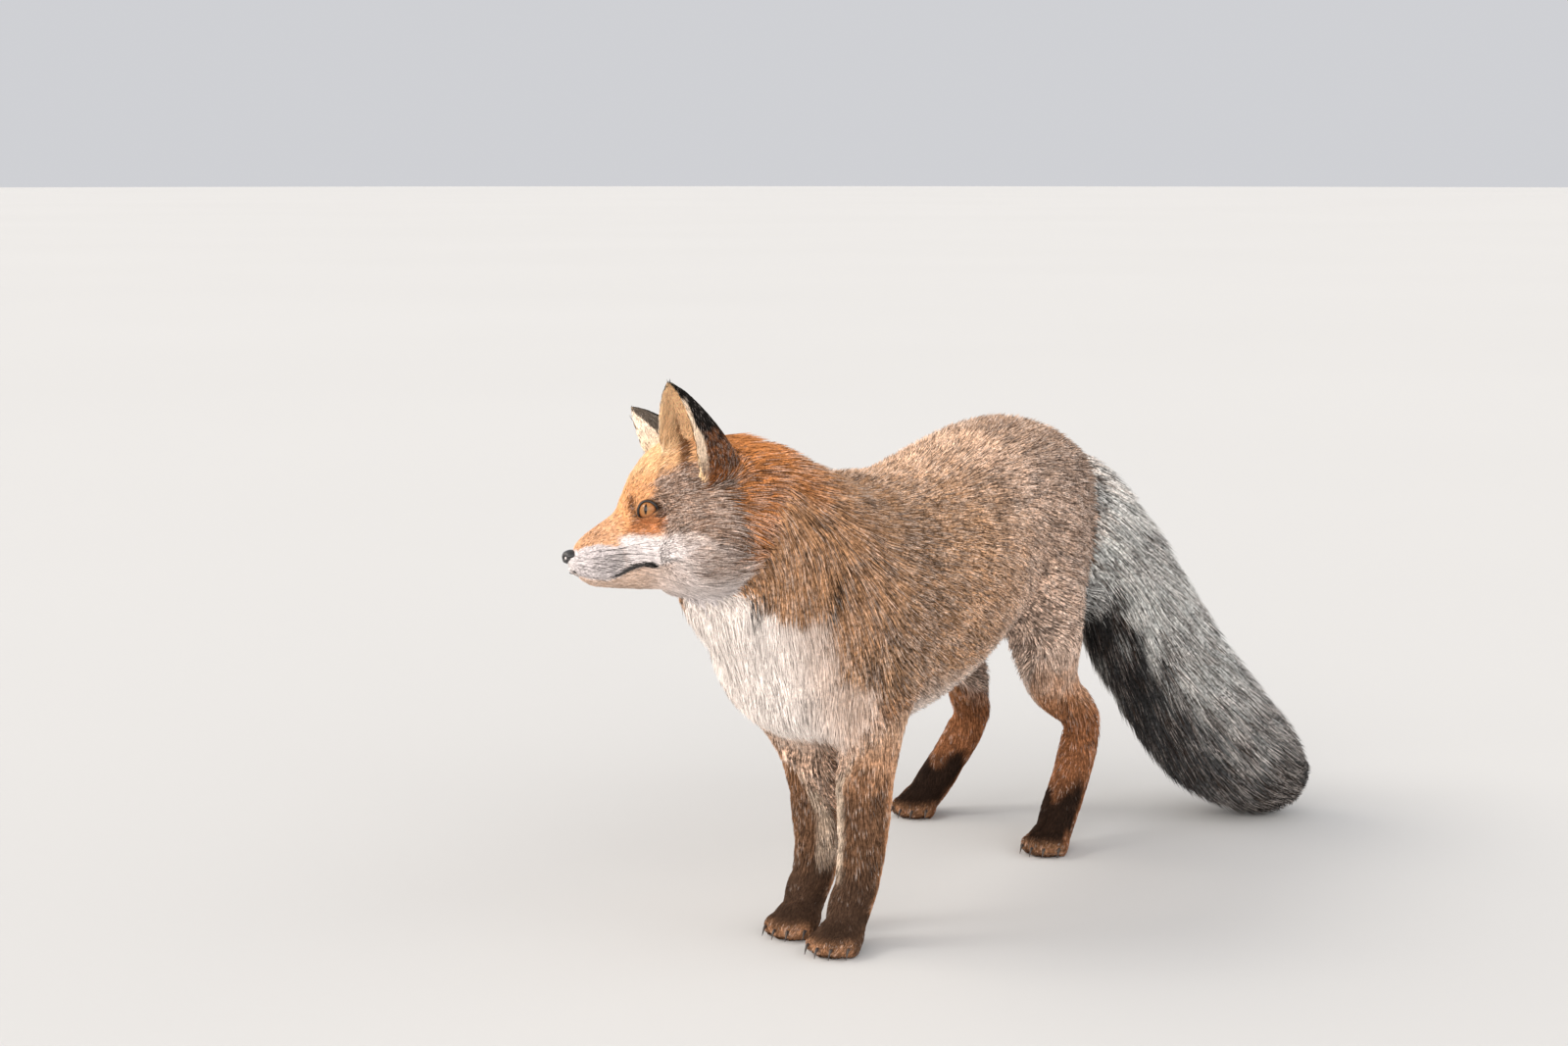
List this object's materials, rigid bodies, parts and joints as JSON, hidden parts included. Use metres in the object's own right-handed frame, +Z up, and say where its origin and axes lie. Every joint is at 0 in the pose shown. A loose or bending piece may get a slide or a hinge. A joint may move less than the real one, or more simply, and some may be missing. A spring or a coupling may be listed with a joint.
{
  "type": "red fox",
  "caption": "Life-size red fox in winter coat, standing square on its paws, head turned to its right and down, brush swung to the left and resting on the floor.",
  "frame": {"origin": "on the floor under the middle of the bounding box", "axes": "X from the chest (-) to the rump and tail (+), +Y the animal's right, +Z up"},
  "size_m": [0.8372, 0.3916, 0.4739],
  "materials": {
    "orange_coat": "orange fur of the head, neck and legs",
    "brown_coat": "grizzled brown fur of the back and flanks",
    "grey_coat": "grey and black fur of the brush",
    "dark_coat": "dark short fur of the paws and ears and long fur of the brush's end",
    "iris": "wet, glossy amber eye",
    "nose_leather": "damp black nose leather"
  },
  "bodies": {
    "root": {"head": "orange_coat", "neck": "orange_coat", "trunk": "brown_coat", "tail_base": "grey_coat", "tail_middle": "grey_coat", "tail_tip": "dark_coat", "foreleg_left": "orange_coat", "foreleg_right": "orange_coat", "forepaw_left": "dark_coat", "forepaw_right": "dark_coat", "hindleg_left": "orange_coat", "hindleg_right": "orange_coat", "hindfoot_left": "dark_coat", "hindfoot_right": "dark_coat", "ear_left": "dark_coat", "ear_right": "dark_coat", "eye_left": "iris", "eye_right": "iris", "nose": "nose_leather"}
  },
  "joints": []
}
